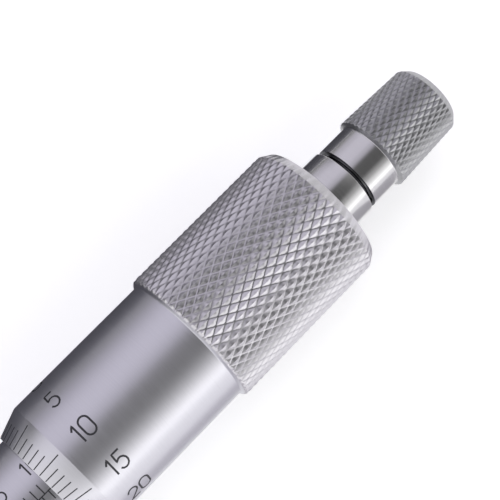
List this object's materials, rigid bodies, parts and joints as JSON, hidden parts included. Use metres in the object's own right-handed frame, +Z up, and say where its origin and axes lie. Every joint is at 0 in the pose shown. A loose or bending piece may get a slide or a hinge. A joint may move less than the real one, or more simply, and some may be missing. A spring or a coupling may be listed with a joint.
{
  "type": "inside micrometer",
  "caption": "Caliper-type inside micrometer with two half-round jaws, a sliding rod, a graduated sleeve, a knurled thimble, a ratchet stop and a lock screw.",
  "frame": {"origin": "on the measuring screw's axis, in the middle of the fixed hub", "axes": "+X along the screw's axis towards the ratchet knob, +Z up from the table it lies on; the jaws point towards -Y and slope down to the table"},
  "size_m": [0.1214, 0.0415, 0.0188],
  "materials": {
    "satin_chrome": "satin chrome plate on turned steel",
    "knurled_chrome": "satin chrome plate on knurled steel",
    "satin_steel": "satin chrome plate on forged steel",
    "ground_steel": "hardened and ground",
    "dark_steel": "blued",
    "spring_steel": "drawn wire",
    "bronze": "reamed bronze",
    "brass_pad": "turned brass"
  },
  "bodies": {
    "frame": {"fixed_jaw": "satin_steel", "rod_bush": "bronze", "key_screw": "dark_steel", "inner_sleeve": "ground_steel", "graduated_sleeve": "satin_chrome", "adjusting_nut": "dark_steel"},
    "lock_shoe": {"lock_shoe": "brass_pad"},
    "lock_screw": {"lock_screw": "knurled_chrome"},
    "rod": {"slide_rod": "ground_steel", "movable_jaw": "satin_steel", "jaw_pin": "ground_steel", "thrust_ball": "ground_steel", "coupling_pins": "ground_steel"},
    "thimble": {"micrometer_screw": "ground_steel", "thimble": "satin_chrome", "ratchet_base": "satin_chrome", "end_screw": "dark_steel", "end_washer": "dark_steel"},
    "ratchet_knob": {"ratchet_knob": "knurled_chrome", "ratchet_spring": "spring_steel"},
    "ratchet_disc": {"ratchet_disc": "ground_steel"}
  },
  "joints": [
    {"name": "jaw_slide", "type": "slide", "parent": "frame", "child": "rod", "axis": [-1, 0, 0], "range_m": [-0.00512, 0.01988]},
    {"name": "thimble_turn", "type": "hinge", "parent": "rod", "child": "thimble", "pos_m": [0.055, 0, 0], "axis": [-1, 0, 0], "range_deg": [-3686.5, 14313.7]},
    {"name": "ratchet_turn", "type": "hinge", "parent": "thimble", "child": "ratchet_knob", "pos_m": [0.09, 0, 0], "axis": [-1, 0, 0], "continuous": true},
    {"name": "ratchet_click", "type": "slide", "parent": "ratchet_knob", "child": "ratchet_disc", "axis": [1, 0, 0], "range_m": [0, 0.0005], "stiffness_N_per_m": 200, "springref_m": -0.003, "deforming": ["ratchet_spring"]},
    {"name": "lock_shoe_slide", "type": "slide", "parent": "frame", "child": "lock_shoe", "axis": [0, -0.9594, -0.2821], "range_m": [0, 0.000175]},
    {"name": "lock_screw_turn", "type": "hinge", "parent": "lock_shoe", "child": "lock_screw", "pos_m": [-0.0035, 0, 0], "axis": [0, -0.9594, -0.2821], "range_deg": [-0.1, 90.1]}
  ],
  "couplings": [
    {"joint": "thimble_turn", "follows": "jaw_slide", "rad_per_m": 12566},
    {"joint": "lock_screw_turn", "follows": "lock_shoe_slide", "rad_per_m": 8976}
  ]
}
